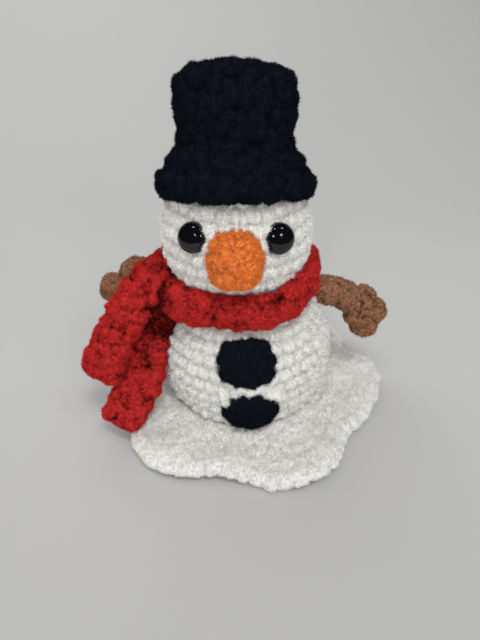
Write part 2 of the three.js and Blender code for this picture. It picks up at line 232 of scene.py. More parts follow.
# The stage. Lights are in metres and watts, each with its place, aim, size and power, and the
# sweep is in millimetres.
LIGHTS = {
    "window": ((0.22, -0.66, 1.48), (0, 0.05, 0.08), 0.45, 7.8),
    "left_fill": ((-1.1, 0.1, 0.9), (0, 0.3, 0.1), 0.8, 1.2),
    "front_fill": ((-0.1, -1.3, 0.22), (0, 0, 0.13), 0.6, 5.6),
    "back_fill": ((-0.5, 0.95, 1.3), (-0.12, 0.7, 0), 1.2, 7.5),
}
LAMPS = ((-0.20, -0.95, 0.68), (0.50, -0.95, 0.68), (-0.20, -0.30, 1.15), (0.50, -0.30, 1.15))
LAMP_AIM, LAMP_SIZE, LAMP_POWER = (0, 0, 0.12), 0.13, 0.75
ROOM_LIGHT, ROOM_COLOUR = 0.37, (1.0, 0.99, 0.97, 1)
SWEEP_FRONT, SWEEP_BEND_FROM, SWEEP_BEND, SWEEP_TOP = -8000, 350, 1300, 2600
SWEEP_SIDE = 2600.0
# Painted shade on the sweep: its colour goes down to this share towards the front, fading out
# between these places along y, in metres
FLOOR_PAINTED_SHADE = 0.87
FLOOR_PAINTED_SHADE_SPAN = (-0.17, 0.04)
CAMERA_PLACE = (-0.0035, -0.250, 0.231)
CAMERA_DOWN = 35
CAMERA_LENS = 36 * 481 / 640


# How finely smooth lines are drawn: between two given points, up a side, and round the base
BETWEEN_STEPS, SIDE_STEPS, EDGE_STEPS = 24, 160, 4000


# Repeatable noise

ODD_FACTORS = (0x9E3779B1, 0x85EBCA77, 0xC2B2AE3D)
SEED_FACTOR = 0x27D4EB2F
MIXING = ((15, 0x2C1B3C6D), (12, 0x297A2D39))


def scrambled(x, y, z, seed):
    """Whole numbers that look random for each whole-number place."""
    n = np.uint32((seed * SEED_FACTOR) & 0xFFFFFFFF)
    for axis, factor in zip((x, y, z), ODD_FACTORS):
        n = n ^ (np.asarray(axis).astype(np.int64).astype(np.uint32) * np.uint32(factor))
    for shift, factor in MIXING:
        n = (n ^ (n >> np.uint32(shift))) * np.uint32(factor)
    return n ^ (n >> np.uint32(15))


def ten_bits(n, part):
    """The first, second or third ten bits of scrambled numbers, from 0 to 1023."""
    return (n >> np.uint32(10 * part)) & np.uint32(1023)


def chance(x, y, z, seed, part=0):
    """A repeatable number from -1 to 1 for each whole-number place."""
    return ten_bits(scrambled(x, y, z, seed), part) / 511.5 - 1


def eased(t):
    """A share from 0 to 1 that starts and ends softly."""
    return t * t * (3 - 2 * t)


def drift(points, size, seed):
    """Smooth noise from about -1 to 1 whose swells are size across."""
    p = points / size
    base = np.floor(p).astype(np.int64)
    f = eased(p - base)
    total = 0
    for dx, dy, dz in np.ndindex(2, 2, 2):
        share = (f[..., 0] if dx else 1 - f[..., 0]) * (f[..., 1] if dy else 1 - f[..., 1])
        share = share * (f[..., 2] if dz else 1 - f[..., 2])
        corner = chance(base[..., 0] + dx, base[..., 1] + dy, base[..., 2] + dz, seed)
        total = total + share * corner
    return total


def tufts(points, size, seed):
    """Rounded clumps about size across: 1 on top of a clump, 0 in the creases between clumps."""
    p = points / size
    base = np.floor(p).astype(np.int64)
    nearest = np.full(p.shape[:-1], np.inf)
    for step in np.ndindex(3, 3, 3):
        cell = base + (np.array(step) - 1)
        n = scrambled(cell[..., 0], cell[..., 1], cell[..., 2], seed)
        gap = 0.0
        for axis in range(3):
            middle = ten_bits(n, axis) / 1137.0 + 0.05
            gap = gap + (p[..., axis] - cell[..., axis] - middle) ** 2
        nearest = np.minimum(nearest, gap)
    return np.sqrt(np.clip(1 - nearest / TUFT_REACH, 0, 1))


# Shapes

def unit(vectors):
    """The vectors brought to length 1."""
    return vectors / np.maximum(np.linalg.norm(vectors, axis=-1, keepdims=True), 1e-9)


def smooth_line(points, count):
    """Evenly spaced points on a smooth line through the given ones, and its length."""
    points = np.asarray(points, float)
    ends = np.vstack([2 * points[0] - points[1], points, 2 * points[-1] - points[-2]])
    t = np.linspace(0, 1, BETWEEN_STEPS, endpoint=False)[:, None]
    dense = [
        0.5 * (2 * b + (c - a) * t + (2 * a - 5 * b + 4 * c - d) * t**2
               + (3 * b - a - 3 * c + d) * t**3)
        for a, b, c, d in zip(ends, ends[1:], ends[2:], ends[3:])
    ]
    dense = np.vstack(dense + [points[-1:]])
    run = np.r_[0, np.cumsum(np.linalg.norm(np.diff(dense[:, :3], axis=0), axis=1))]
    at = np.linspace(0, run[-1], count)
    return np.stack([np.interp(at, run, column) for column in dense.T], axis=1), run[-1]


def swept(radius, height, columns):
    """Rows of radius and height turned about +Z: an array of rows by columns by 3."""
    turn = np.linspace(0, 2 * np.pi, columns, endpoint=False)
    x = radius[:, None] * np.cos(turn)
    y = radius[:, None] * np.sin(turn)
    return np.stack([x, y, np.broadcast_to(height[:, None], x.shape)], axis=2)


def outward(places):
    """Outward directions of a closed tube of rows by columns."""
    around = np.roll(places, -1, axis=1) - np.roll(places, 1, axis=1)
    return unit(np.cross(around, np.gradient(places, axis=0)))


def stitches(turn, row, counts, lean, seed):
    """Height from 0 to 1 of V-shaped stitches at a turn (0 to 1) and a row; counts is per row."""
    best, pit = np.zeros(turn.shape), np.zeros(turn.shape)
    for step in (-1, 0, 1):
        k = np.floor(row).astype(np.int64) + step
        count = counts[np.clip(k, 0, len(counts) - 1)]
        u = turn * count + lean * k
        for beside in (-1, 0, 1):
            cell = np.floor(u) + beside
            fx = u - cell - 0.5
            fy = row - k - 0.5
            for leg in (-1, 1):
                loose = chance(cell % count, k, 3 + leg, seed)
                shift = chance(cell % count, k, 3 + leg, seed, 1)
                across = fx - leg * (LEG_ASIDE + LEG_SLANT * fy) - STRAY_ASIDE * shift
                across = across / (LEG_HALF_WIDTH + UNEVEN_WIDTH * loose)
                up = (fy + STRAY_UP * shift) / LEG_HALF_HEIGHT
                rise = LEG_RISE - LEG_ROLL * leg + UNEVEN_RISE * loose
                best = np.maximum(best, np.clip(1 - across**2 - up**2, 0, 1) * rise)
            hole = np.exp(
                -((fx - 0.5) / PIT_HALF_WIDTH) ** 2 - ((fy + PIT_DOWN) / PIT_HALF_HEIGHT) ** 2
            )
            pit = np.maximum(pit, hole * (0.75 + 0.25 * chance(cell % count, k, 9, seed)))
    return best * (1 - PIT_DEPTH * pit)


def tufted(places, coarse, fine, seed):
    """How far the yarn's tufts stand out, in millimetres, and their painted shade from 0 to 1,
    darker in the creases between tufts.
    """
    large = tufts(places, COARSE_TUFT, seed)
    small = tufts(places, FINE_TUFT, seed + 1)
    rise = coarse * (large - TUFT_MEAN) + fine * (small - TUFT_MEAN)
    rise = rise + 0.5 * fine * drift(places, FUZZ, seed + 2)
    return rise, np.clip(0.05 + 0.55 * large**2 + 0.6 * small**2, 0, 1)


def side_radius(side, z):
    """Radius of a turned side at a height."""
    line = smooth_line(side, SIDE_STEPS)[0]
    order = np.argsort(line[:, 1])
    return np.interp(z, line[order, 1], line[order, 0])


def pushed_out(places, side, centre_x, clear):
    """Moves points out of a turned form that stands at centre_x, with a clearance."""
    out = places.copy()
    low, high = side[0][1], side[-1][1]
    across = out[..., 0] - centre_x
    reach = np.hypot(across, out[..., 1])
    inside = (out[..., 2] > low) & (out[..., 2] < high)
    want = side_radius(side, out[..., 2]) + clear
    factor = np.where(inside & (reach < want), want / np.maximum(reach, 1e-6), 1)
    out[..., 0] = centre_x + across * factor
    out[..., 1] *= factor
    return out


def lump(places, centre, reach):
    """A soft round lump: 1 at its centre, 0 beyond about twice its reach."""
    gap = ((places - np.array(centre, float)) / np.array(reach, float)) ** 2
    return np.exp(-gap.sum(axis=-1))


# Meshes

def set_shade(mesh, shade):
    """Keeps each point's painted shade for the yarn's material: 0 deep in a crease, painted
    darkest, 1 on top.
    """
    depth = mesh.attributes.new("depth", "FLOAT", "POINT")
    depth.data.foreach_set("value", shade.astype(np.float32))


def vectors_of(items, field):
    """The vectors that a mesh's points or normals hold in a field."""
    values = np.empty(len(items) * 3, np.float32)
    items.foreach_get(field, values)
    return values.reshape(-1, 3)


def mesh_object(name, points, faces, shade=None):
    """A smooth mesh object of points in millimetres and arrays of faces."""
    mesh = bpy.data.meshes.new(name)
    corners = np.concatenate([f.ravel() for f in faces]).astype(np.int32)
    corner_counts = np.concatenate([np.full(len(f), f.shape[1]) for f in faces])
    starts = np.r_[0, np.cumsum(corner_counts)[:-1]].astype(np.int32)
    mesh.vertices.add(len(points))
    mesh.vertices.foreach_set("co", (points * MM).astype(np.float32).ravel())
    mesh.loops.add(len(corners))
    mesh.loops.foreach_set("vertex_index", corners)
    mesh.polygons.add(len(starts))
    mesh.polygons.foreach_set("loop_start", starts)
    mesh.update(calc_edges=True)
    mesh.polygons.foreach_set("use_smooth", np.ones(len(starts), bool))
    if shade is not None:
        set_shade(mesh, shade)
    piece = bpy.data.objects.new(name, mesh)
    bpy.context.scene.collection.objects.link(piece)
    return piece


def built(name, places, shade=None):
    """A mesh object of a tube of rows by columns, with a point in the middle of each end."""
    rows, columns = places.shape[:2]
    ring = np.arange(columns)
    after = (ring + 1) % columns
    first = (np.arange(rows - 1) * columns)[:, None]
    quads = [first + ring, first + after, first + columns + after, first + columns + ring]
    start, end = rows * columns, rows * columns + 1
    last = (rows - 1) * columns
    tris = np.concatenate([
        np.stack([np.full(columns, start), after, ring], 1),
        np.stack([np.full(columns, end), last + ring, last + after], 1),
    ])
    points = np.vstack([places.reshape(-1, 3), places[0].mean(0)[None], places[-1].mean(0)[None]])
    if shade is not None:
        shade = np.r_[shade.ravel(), 1.0, 1.0]
    return mesh_object(name, points, [np.stack(quads, 2).reshape(-1, 4), tris], shade)


def joined(pieces):
    """Joins mesh objects into the first of them."""
    with bpy.context.temp_override(
        active_object=pieces[0], object=pieces[0], selected_objects=pieces,
        selected_editable_objects=pieces,
    ):
        bpy.ops.object.join()
    return pieces[0]


def surface_of(piece):
    """The corners of a piece's triangles in millimetres, and the corners' painted shades."""
    mesh = piece.data
    mesh.calc_loop_triangles()
    corner = np.empty(len(mesh.loop_triangles) * 3, np.int32)
    mesh.loop_triangles.foreach_get("vertices", corner)
    corner = corner.reshape(-1, 3)
    shade = np.empty(len(mesh.vertices), np.float32)
    mesh.attributes["depth"].data.foreach_get("value", shade)
    return vectors_of(mesh.vertices, "co")[corner] / MM, shade[corner]


def pile(piece, count, reach, width, seed, keep=None):
    """A second piece of short fibres that lean on a piece's surface, one thin triangle each."""
    triangles, shades = surface_of(piece)
    if keep is not None:
        kept = keep(triangles.mean(1))
        triangles, shades = triangles[kept], shades[kept]
    rng = np.random.default_rng(seed)
    cross = np.cross(triangles[:, 1] - triangles[:, 0], triangles[:, 2] - triangles[:, 0])
    area = np.linalg.norm(cross, axis=1)
    chosen = np.searchsorted(np.cumsum(area) / area.sum(), rng.random(count))
    chosen = np.minimum(chosen, len(area) - 1)
    a, b = rng.random((2, count, 1))
    flip = a + b > 1
    a, b = np.where(flip, 1 - a, a), np.where(flip, 1 - b, b)
    t, dark = triangles[chosen], shades[chosen, :, None]
    root = t[:, 0] + a * (t[:, 1] - t[:, 0]) + b * (t[:, 2] - t[:, 0])
    # Each fibre takes the painted crease shade at its root
    shade = dark[:, 0] + a * (dark[:, 1] - dark[:, 0]) + b * (dark[:, 2] - dark[:, 0])
    up = cross[chosen] / np.maximum(area[chosen, None], 1e-9)
    lean = np.where(rng.random((count, 1)) < FIBRE_UPRIGHT_SHARE, *FIBRE_LEANS)
    way = unit(up + lean * rng.normal(size=(count, 3)))
    side = unit(np.cross(way, up) + FIBRE_TWIST * rng.normal(size=(count, 3)))
    root = root - FIBRE_SUNK * up
    tip = root + way * reach * rng.uniform(FIBRE_SHORTEST, 1, (count, 1))
    points = np.stack([root - side * width / 2, root + side * width / 2, tip], axis=1)
    points[..., 2] = np.maximum(points[..., 2], FIBRE_LOWEST)
    faces = np.arange(3 * count).reshape(-1, 3)
    shade = shade[:, 0] + rng.uniform(-FIBRE_SHADE_SPREAD, FIBRE_SHADE_SPREAD, count)
    # Painted light: the tip is lighter than the root
    shade = np.clip(np.stack([shade, shade, shade + FIBRE_TIP_PAINTED_LIGHT], axis=1), 0, 1)
    return mesh_object(piece.name + "_pile", points.reshape(-1, 3), [faces], shade.ravel())


# Materials

def new_material(name, values):
    """A material, its node tree and its shader, with values on the shader's own sockets."""
    material = bpy.data.materials.new(name)
    material.use_nodes = True
    shader = material.node_tree.nodes["Principled BSDF"]
    for socket, value in values.items():
        shader.inputs[socket].default_value = value
    return material, material.node_tree, shader


def new_node(tree, kind, values=()):
    """A node with values on its sockets."""
    node = tree.nodes.new(kind)
    for socket, value in dict(values).items():
        node.inputs[socket].default_value = value
    return node


def link(tree, out, into):
    """Links one socket to another."""
    tree.links.new(out, into)


def multiply_add(tree, value, factor, more):
    """The output of a node that gives value times factor plus more."""
    node = new_node(tree, "ShaderNodeMath", {1: factor})
    node.operation = "MULTIPLY_ADD"
    link(tree, value, node.inputs[0])
    link(tree, more, node.inputs[2])
    return node.outputs[0]


def colour_between(tree, value, dark, light, start=0.0):
    """The output of a ramp from dark to light colours."""
    ramp = new_node(tree, "ShaderNodeValToRGB")
    low, high = ramp.color_ramp.elements
    low.position = start
    low.color = (*dark, 1)
    high.color = (*light, 1)
    link(tree, value, ramp.inputs["Fac"])
    return ramp.outputs["Color"]


def yarn(name, light, dark, sheen, grain):
    """Chenille: colour varies from tuft to tuft and is painted darker in the creases as shade, with
    a soft sheen.
    """
    material, tree, shader = new_material(name, {
        "Roughness": 0.9, "Specular IOR Level": 0.02,
        "Sheen Weight": sheen, "Sheen Roughness": 0.45, "Sheen Tint": (*light, 1),
    })
    place = new_node(tree, "ShaderNodeTexCoord")
    fine = new_node(
        tree, "ShaderNodeTexNoise", {"Scale": 1 / GRAIN_SIZE, "Detail": 3, "Roughness": 0.65},
    )
    wide = new_node(tree, "ShaderNodeTexNoise", {"Scale": 0.12 / GRAIN_SIZE})
    for noise in (fine, wide):
        link(tree, place.outputs["Object"], noise.inputs["Vector"])
    # Each point's painted shade darkens the colour towards the yarn's crease colour
    depth = new_node(tree, "ShaderNodeAttribute")
    depth.attribute_name = "depth"
    shade = multiply_add(tree, fine.outputs["Fac"], grain, depth.outputs["Fac"])
    shade = multiply_add(tree, wide.outputs["Fac"], PATCH_STRENGTH, shade)
    span = new_node(
        tree, "ShaderNodeMapRange", {"From Min": 0.5 * grain + 0.2, "From Max": 0.5 * grain + 0.95},
    )
    link(tree, shade, span.inputs["Value"])
    colour = colour_between(tree, span.outputs["Result"], dark, light)
    link(tree, colour, shader.inputs["Base Color"])
    relief = new_node(
        tree, "ShaderNodeBump", {"Strength": 0.6, "Distance": GRAIN_SIZE * 0.5},
    )
    link(tree, fine.outputs["Fac"], relief.inputs["Height"])
    link(tree, relief.outputs["Normal"], shader.inputs["Normal"])
    return material


def glossy_plastic(name, tint):
    """Polished plastic with the faint unevenness of a moulded dome."""
    material, tree, shader = new_material(name, {
        "Base Color": (*tint, 1), "Specular IOR Level": 0.55,
    })
    place = new_node(tree, "ShaderNodeTexCoord")
    noise = new_node(tree, "ShaderNodeTexNoise", {"Scale": 260})
    span = new_node(tree, "ShaderNodeMapRange", {"To Min": 0.05, "To Max": 0.12})
    link(tree, place.outputs["Object"], noise.inputs["Vector"])
    link(tree, noise.outputs["Fac"], span.inputs["Value"])
    link(tree, span.outputs["Result"], shader.inputs["Roughness"])
    return material


def floor_cloth(name, light):
    """A matt sweep with painted shade: darker towards the front."""
    material, tree, shader = new_material(name, {"Roughness": 0.95, "Specular IOR Level": 0.1})
    place = new_node(tree, "ShaderNodeTexCoord")
    noise = new_node(tree, "ShaderNodeTexNoise", {"Scale": 3.0})
    apart = new_node(tree, "ShaderNodeSeparateXYZ")
    near, far = FLOOR_PAINTED_SHADE_SPAN
    away = new_node(tree, "ShaderNodeMapRange", {"From Min": near, "From Max": far})
    link(tree, place.outputs["Object"], noise.inputs["Vector"])
    link(tree, place.outputs["Object"], apart.inputs["Vector"])
    link(tree, apart.outputs["Y"], away.inputs["Value"])
    mixed = multiply_add(tree, noise.outputs["Fac"], PATCH_STRENGTH, away.outputs["Result"])
    colour = colour_between(tree, mixed, FLOOR_PAINTED_SHADE * light, light, start=0.2)
    link(tree, colour, shader.inputs["Base Color"])
    return material


# Crocheted pieces

def colours():
    """The colours set in the panel."""
    return bpy.context.scene.snowman_colours


def sizes():
    """The sizes set in the panel."""
    return bpy.context.scene.snowman_sizes


def dressed(piece, nodes, material):
    """Puts a piece on the frame in place of CAD nodes, in its material."""
    piece.data.materials.append(material)
    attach(piece, "root")
    if nodes:
        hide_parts(*nodes)
    return piece


def yarn_of(slot):
    """The yarn's material for a slot of the record, made once."""
    colour_name, crease, sheen, grain = YARNS[slot]
    light = tuple(getattr(colours(), colour_name))
    # dark is the painted shade colour of the creases
    dark = tuple(crease * c for c in light)
    name = colour_name + "_chenille"
    return bpy.data.materials.get(name) or yarn(name, light, dark, sheen, grain)


def with_pile(piece, slot, keep=None):
    """Adds a piece's pile of fibres and puts it on the frame."""
    group = sizes()
    count, seed = FIBRES[piece.name]
    reach, width = group.pile_length / MM, group.pile_width / MM
    fluff = pile(piece, int(count * group.pile_density), reach, width, seed, keep)
    return dressed(fluff, (), yarn_of(slot))


def plain_ends(side, below=(), above=()):
    """A side evenly stepped between plain rows, its number of steps, and where it starts."""
    steps = int(smooth_line(side, 2)[1] / sizes().grid * MM)
    line = smooth_line(side, steps)[0]
    parts = [np.array(below, float).reshape(-1, 2), line, np.array(above, float).reshape(-1, 2)]
    return np.vstack(parts), steps, len(below)


def crocheted(name, section, stitch, row, relief, seed, lean=0.33, moved=None, extra=None,
              fluff=(0.8, 0.7), creases=0.8):
    """A turned piece with rounds of stitches between its plain ends. section comes from
    plain_ends, moved puts the piece in its place, and extra adds relief and a factor for the
    painted shade; creases weighs the stitches' creases against the tufts' in that shade."""
    line, steps, first = section
    radius, height = line[:, 0], line[:, 1]
    around = 2 * np.pi * radius[first:first + steps].max()
    columns = int(around / sizes().grid * MM)
    places = swept(radius, height, columns)
    normal = outward(places)
    run = np.r_[0, np.cumsum(np.hypot(np.diff(radius), np.diff(height)))]
    past_start, before_end = run - run[first], run[first + steps - 1] - run
    v = past_start / row
    centres = np.interp((np.arange(int(v[-1]) + 2) + 0.5) * row, past_start, radius)
    counts = np.maximum(FEWEST_STITCHES, np.round(2 * np.pi * centres / stitch))
    turn = np.broadcast_to(np.linspace(0, 1, columns, endpoint=False), places.shape[:2])
    rows = np.broadcast_to(v[:, None], places.shape[:2])
    worked = stitches(turn, rows, counts, lean, seed)
    ends = np.clip(np.minimum(past_start / END_FADE, before_end / END_FADE + 1), 0, 1)[:, None]
    clumps, clump_shade = tufted(places, *fluff, seed)
    rise = (relief * (worked - STITCH_MEAN) + clumps) * ends
    # Painted shade: darker in the creases between stitches and between tufts
    shade = np.clip(creases * worked + (1.4 - creases) * clump_shade - 0.2, 0, 1)
    if moved is not None:
        places, normal = moved(places), moved(normal, turned_only=True)
    if extra is not None:
        more, factor = extra(places)
        rise = rise + more
        shade = np.clip(shade * factor, 0, 1)
    return built(name, places + normal * rise[..., None], shade)


# Sizes and colours

def length_property(name, description, default):
    """A length in metres that the panel shows."""
    return bpy.props.FloatProperty(
        name=name, description=description, default=default, min=0.0001, unit="LENGTH",
        subtype="DISTANCE",
    )


def colour_property(name, description, default):
    """A colour that the panel shows."""
    return bpy.props.FloatVectorProperty(
        name=name, description=description, default=default, min=0, max=1, size=3,
        subtype="COLOR",
    )


class SnowmanSizes(bpy.types.PropertyGroup):
    """Sizes of the stitches and the pile"""

    stitch: length_property("Stitch width", "Width of one stitch round the body", 0.0080)
    row: length_property("Row height", "Height of one round of stitches", 0.0082)
    relief: length_property(
        "Stitch relief", "How far a stitch stands out from the crease beside it", 0.0042,
    )
    grid: length_property("Grid", "Spacing of the points that the surfaces are made of", 0.0006)
    pile_length: length_property("Pile length", "Length of the yarn's loose fibres", 0.0021)
    pile_width: length_property("Pile width", "Width of a fibre at its root", 0.0005)
    pile_density: bpy.props.FloatProperty(
        name="Pile density", description="Share of the fibres that are made", default=1.0,
        min=0.01, max=1.3,
    )


class SnowmanColours(bpy.types.PropertyGroup):
    """Colours of the yarns, the eyes and the stage"""

    white: colour_property("White", "Body, head and base", (0.905, 0.897, 0.868))
    black: colour_property("Black", "Hat and buttons", (0.0072, 0.0093, 0.0155))
    red: colour_property("Red", "Scarf", (0.57, 0.034, 0.032))
    orange: colour_property("Orange", "Nose", (0.86, 0.265, 0.064))
    brown: colour_property("Brown", "Arms", (0.35, 0.172, 0.097))
    eyes: colour_property("Eyes", "Eye plastic", (0.004, 0.004, 0.006))
    floor: colour_property("Floor", "Floor and backdrop", (0.545, 0.545, 0.545))


# Operators

class SNOWMAN_OT_base(bpy.types.Operator):
    """Crochets the melted base"""

    bl_idname = "snowman.base"
    bl_label = "Base"

    def execute(self, context):
        share, height = self.section()
        mean = np.array(BASE_EDGE, float)[:, 1].mean()
        turn, radius = self.outline(share, mean)
        wave = 0.6 * np.cos(7 * turn + 0.8) + 0.4 * np.cos(11 * turn + 2.1 + 4 * share)
        swell = eased(np.clip((share - BASE_FLAT_SHARE) / 0.45, 0, 1)) * (height > 0.3)
        z = height + BASE_WAVE * wave * swell
        places = np.stack([radius * np.cos(turn), radius * np.sin(turn), z], 2)
        normal = outward(places)

        stitch, row = sizes().stitch / MM, sizes().row / MM
        v = ((1 - share) * mean + 0 * turn) / row
        counts = np.round(2 * np.pi * (mean - (np.arange(12) + 0.5) * row) / stitch)
        turns = np.broadcast_to(turn / (2 * np.pi), v.shape)
        relief = stitches(turns, v, np.maximum(counts, 6), lean=0.3, seed=41)
        clumps, clump_shade = tufted(places, coarse=1.7, fine=0.8, seed=9)
        worked = np.clip((share - BASE_FLAT_SHARE) / 0.06, 0, 1) * (height > 0.8)
        folds = 1.7 * drift(places, size=15, seed=5) + 1.0 * drift(places, size=7, seed=6)
        rise = (0.9 * (relief - 0.7) + folds + clumps) * worked
        rim = np.clip((share - BASE_RIM_SHARE) / 0.05, 0, 1)
        wander = 2.2 * drift(places * [1, 1, 0], size=26, seed=8)
        rise = rise + rim * worked * (np.abs(np.sin(turn * counts[0] / 2 + wander)) - 0.6)
        places = places + normal * rise[..., None]
        places[..., 2] = np.maximum(places[..., 2], 0)
        # Painted shade: darker in the creases between stitches and tufts
        shade = np.clip(0.55 + 0.2 * relief + 0.5 * clump_shade, 0, 1)

        piece = built("base_crochet", places, shade)
        dressed(piece, ("puddle",), yarn_of("white_yarn"))
        fluff = with_pile(piece, "white_yarn", self.seen)
        return {"FINISHED"}

    def section(self):
        """Columns of the section's shares of the radius and its heights, from below to the top."""
        rim = [[share * BASE_REACH, part * BASE_THICKNESS] for share, part in BASE_SECTION]
        line = smooth_line(rim, BASE_ROWS)[0]
        share = np.r_[BASE_UNDER_SHARES, line[:, 0] / BASE_REACH, BASE_MIDDLE_SHARES]
        under = np.zeros(len(BASE_UNDER_SHARES))
        middle = np.full(len(BASE_MIDDLE_SHARES), BASE_MIDDLE_HEIGHT)
        return share[:, None], np.r_[under, line[:, 1], middle][:, None]

    def outline(self, share, mean):
        """Angles in radians, and radii that go from round at the middle to wavy at the edge."""
        knots = np.array(BASE_EDGE, float)
        around = np.vstack([knots - [360, 0], knots, knots + [360, 0]])
        line = smooth_line(np.c_[around, np.zeros(len(around))], EDGE_STEPS)[0]
        angle = np.linspace(0, 360, BASE_COLUMNS, endpoint=False)
        edge = np.interp(angle, line[:, 0], line[:, 1])
        blend = np.clip((share - 0.52) / 0.2, 0, 1)
        return np.radians(angle)[None], share * (mean + (edge - mean) * blend)

    def seen(self, places):
        """Whether places are on the base's top or rim, and outside the body."""
        return (places[:, 2] > 1.2) & (np.hypot(places[:, 0], places[:, 1]) > 44)


class SNOWMAN_OT_body(bpy.types.Operator):
    """Crochets the stuffed body, whose yarn laps over the lower button's edge"""

    bl_idname = "snowman.body"
    bl_label = "Body"

    def execute(self, context):
        low, high = BODY_SIDE[0][1], BODY_SIDE[-1][1]
        section = plain_ends(BODY_SIDE, [[2, low], [24, low]], [[14, high], [2, high]])
        x, y, z = BUTTONS["lower"][0]

        def over_button(places):
            rise = sum(
                most * lump(places, [x + aside, y + 1, z + up], [wide, 8, tall])
                for aside, up, most, wide, tall in YARN_OVER_BUTTON
            )
            # The second value is the painted shade that darkens the whole body
            return np.minimum(rise, YARN_OVER_BUTTON_MOST), BODY_PAINTED_SHADE

        piece = crocheted(
            "body_crochet", section, stitch=sizes().stitch / MM, row=sizes().row / MM,
            relief=0.95 * sizes().relief / MM, seed=3, extra=over_button, creases=0.7,
        )
        dressed(piece, ("body",), yarn_of("white_yarn"))
        with_pile(piece, "white_yarn", lambda c: np.hypot(c[:, 0], c[:, 1]) > 30)
        return {"FINISHED"}


class SNOWMAN_OT_head(bpy.types.Operator):
    """Crochets the stuffed head, with the yarn pulled up beside the eyes and a stitched crease"""

    bl_idname = "snowman.head"
    bl_label = "Head"

    def execute(self, context):
        low = HEAD_SIDE[0][1]
        section = plain_ends(HEAD_SIDE, [[2, low], [14, low]])

        def moved(places, turned_only=False):
            return places if turned_only else places + np.array([HEAD_X, 0, 0])

        def face(places):
            rise = 0
            for name, inward in (("left", -1), ("right", 1)):
                middle = np.array(EYES[name]) + np.array(BESIDE_EYE) * [inward, 1, 1]
                rise = rise + BESIDE_EYE_RISE * lump(places, middle, BESIDE_EYE_REACH)
            crease = lump(places, CREASE, CREASE_REACH)
            # Painted light: the shade is raised towards the brow, under the brim
            painted_brow_light = np.clip((places[..., 2] - PAINTED_BROW_LIGHT_FROM) / PAINTED_BROW_LIGHT_SPAN, 0, 1)
            # The crease over the nose is dented and also painted darker as shade
            return rise - CREASE_DEPTH * crease, (1 + 0.5 * painted_brow_light) * (1 - 0.75 * crease)

        piece = crocheted(
            "head_crochet", section, stitch=0.97 * sizes().stitch / MM,
            row=0.97 * sizes().row / MM, relief=0.75 * sizes().relief / MM, seed=23,
            moved=moved, extra=face,
        )
        dressed(piece, ("head",), yarn_of("white_yarn"))
        with_pile(piece, "white_yarn", lambda c: (c[:, 2] > 88) & (c[:, 2] < 146))
        return {"FINISHED"}


class SNOWMAN_OT_hat(bpy.types.Operator):
    """Crochets the top hat, leaning back on the head"""

    bl_idname = "snowman.hat"
    bl_label = "Hat"

    def execute(self, context):
        section = plain_ends(HAT_SIDE, HAT_HOLLOW)
        inner_rows = section[2] + BRIM_ROWS
        lean = math.radians(HAT_LEAN)
        sin, cos = math.sin(lean), math.cos(lean)
        up = np.array([[1, 0, 0], [0, cos, sin], [0, -sin, cos]])

        def moved(places, turned_only=False):
            places = places @ up.T
            if turned_only:
                return places
            places = places + np.array(HAT_FOOT)
            hollow = places[:inner_rows]
            for _ in range(HAT_LIFTS):
                reach = np.hypot(hollow[..., 0] - HEAD_X, hollow[..., 1])
                z = hollow[..., 2]
                in_head = (reach < side_radius(HEAD_SIDE, z) + HAT_CLEAR) & (z < HEAD_TOP)
                hollow[in_head] += HAT_LIFT * up[:, 2]
            return places

        def puffed(places):
            wide, narrow = tufts(places, size=9.0, seed=35), tufts(places, size=5.8, seed=36)
            return 2.8 * (wide - TUFT_MEAN) + 5.4 * (narrow - TUFT_MEAN), 1

        piece = crocheted(
            "hat_crochet", section, stitch=1.02 * sizes().stitch / MM, row=sizes().row / MM,
            relief=0.2 * sizes().relief / MM, seed=33, moved=moved, extra=puffed,
            fluff=(0.6, 0.4),
        )
        dressed(piece, ("hat",), yarn_of("black_yarn"))
        with_pile(piece, "black_yarn")
        return {"FINISHED"}


class SNOWMAN_OT_nose(bpy.types.Operator):
    """Crochets the nose, a blunt cone that is a little square"""

    bl_idname = "snowman.nose"
    bl_label = "Nose"

    def execute(self, context):
        section = plain_ends(NOSE_SIDE, [[1.5, NOSE_SIDE[0][1]]])

        def pointed_forward(places):
            return np.stack([places[..., 0], -places[..., 2], places[..., 1]], axis=2)

        def moved(places, turned_only=False):
            if turned_only:
                return pointed_forward(places)
            angle = np.arctan2(places[..., 1], places[..., 0])
            blocky = 1.01 - 0.05 * np.cos(4 * angle)
            places = places * np.stack([blocky, blocky, np.ones_like(blocky)], 2)
            places = pointed_forward(places) + np.array(NOSE_ROOT)
            return pushed_out(places, HEAD_SIDE, HEAD_X, -0.5)

        def puffed(places):
            return 3.4 * (tufts(places, size=7.0, seed=45) - TUFT_MEAN), 1

        piece = crocheted(
            "nose_crochet", section, stitch=7.4, row=6.0, relief=0.6, seed=43, lean=0.5,
            moved=moved, extra=puffed, fluff=(2.0, 1.6), creases=0.2,
        )
        dressed(piece, ("nose",), yarn_of("orange_yarn"))
        with_pile(piece, "orange_yarn")
        return {"FINISHED"}


class SNOWMAN_OT_eyes(bpy.types.Operator):
    """Makes the glossy safety eyes"""

    bl_idname = "snowman.eyes"
    bl_label = "Eyes"

    def execute(self, context):
        line = smooth_line(EYE_SIDE, EYE_ROWS)[0]
        plastic = glossy_plastic("polished_eye", tuple(colours().eyes))
        for name, at in EYES.items():
            ahead = unit(np.array([EYE_SPLAY * (at[0] - HEAD_X), at[1], at[2] - HEAD_MIDDLE]))
            right = unit(np.cross([0, 0, 1], ahead))
            axes = np.stack([right, np.cross(ahead, right), ahead], axis=1)
            places = swept(line[:, 0], line[:, 1], EYE_COLUMNS) @ axes.T + np.array(at)
            dome = built("eye_dome_" + name, places)
            dressed(dome, ("eye_" + name,), plastic)
        return {"FINISHED"}


